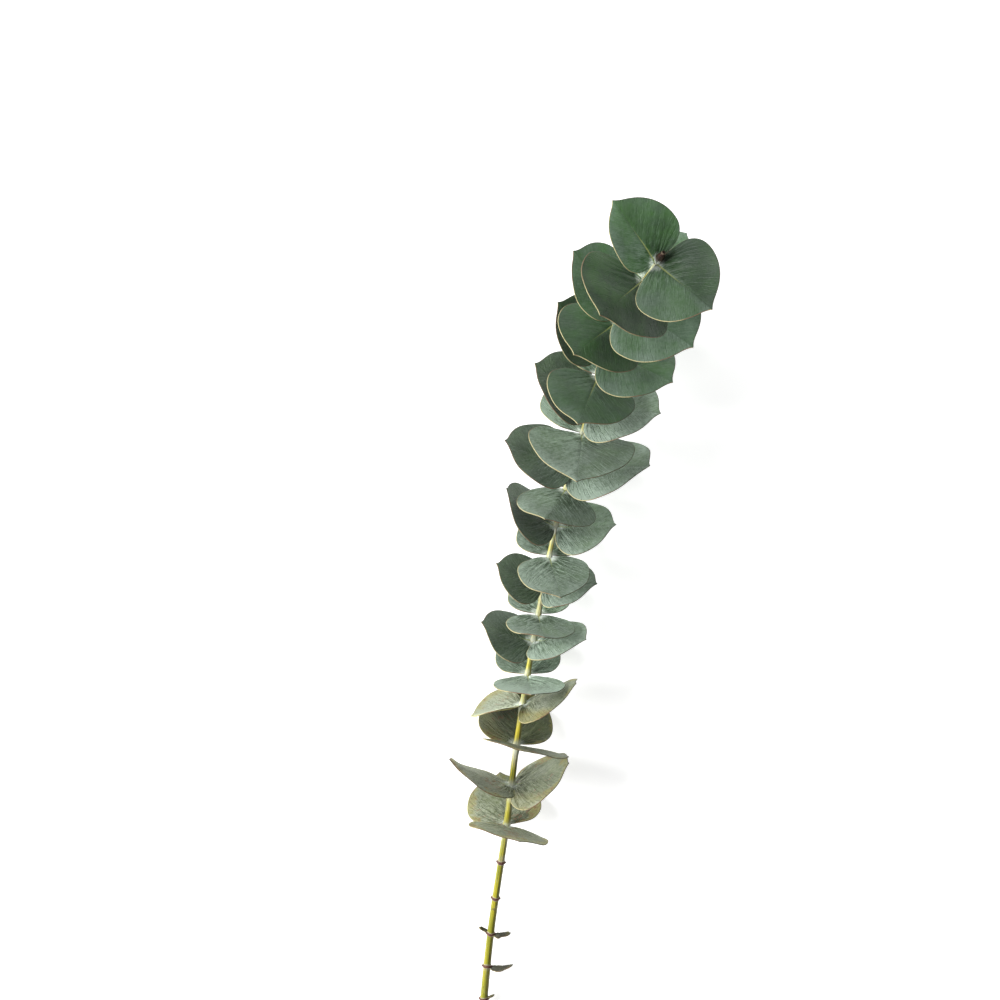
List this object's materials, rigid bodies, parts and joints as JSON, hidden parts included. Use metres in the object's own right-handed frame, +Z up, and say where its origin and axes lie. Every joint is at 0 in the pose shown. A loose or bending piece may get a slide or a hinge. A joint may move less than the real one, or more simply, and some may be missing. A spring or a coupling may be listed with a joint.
{
  "type": "eucalyptus branch",
  "caption": "Cut eucalyptus branch lying on its side, with opposite pairs of round blue-green leaves close along a slender stem and a bare cut end.",
  "frame": {"origin": "middle of the branch's outline seen from above, on the surface that it lies on", "axes": "+Y along the branch from the cut end to the growing tip, +Z up from the surface"},
  "size_m": [0.1147, 0.3998, 0.0899],
  "materials": {
    "stem": "satin",
    "bud": "matte",
    "young_leaf": "satin",
    "leaf": "matte",
    "torn_leaf": "matte"
  },
  "bodies": {
    "root": {"stem": "stem", "bud": "bud", "leaf_01_right": "young_leaf", "leaf_01_left": "young_leaf", "leaf_02_front": "young_leaf", "leaf_02_back": "young_leaf", "leaf_03_right": "young_leaf", "leaf_03_left": "young_leaf", "leaf_04_front": "young_leaf", "leaf_04_back": "young_leaf", "leaf_05_right": "young_leaf", "leaf_05_left": "young_leaf", "leaf_06_front": "young_leaf", "leaf_06_back": "young_leaf", "leaf_07_right": "leaf", "leaf_07_left": "leaf", "leaf_08_front": "leaf", "leaf_08_back": "leaf", "leaf_09_right": "leaf", "leaf_09_left": "leaf", "leaf_10_front": "leaf", "leaf_10_back": "leaf", "leaf_11_right": "leaf", "leaf_11_left": "leaf", "leaf_12_front": "leaf", "leaf_12_back": "leaf", "leaf_13_right": "leaf", "leaf_13_left": "leaf", "leaf_14_front": "leaf", "leaf_14_back": "leaf", "leaf_15_right": "leaf", "leaf_15_left": "leaf", "leaf_16_front": "leaf", "leaf_16_back": "leaf", "leaf_17_right": "leaf", "leaf_17_left": "leaf", "leaf_18_front": "leaf", "leaf_18_back": "leaf", "leaf_19_right": "leaf", "leaf_19_left": "leaf", "leaf_20_front": "leaf", "leaf_20_back": "leaf", "torn_leaf_23_right": "torn_leaf", "torn_leaf_23_left": "torn_leaf", "torn_leaf_24_right": "torn_leaf", "torn_leaf_25_right": "torn_leaf"}
  },
  "joints": []
}
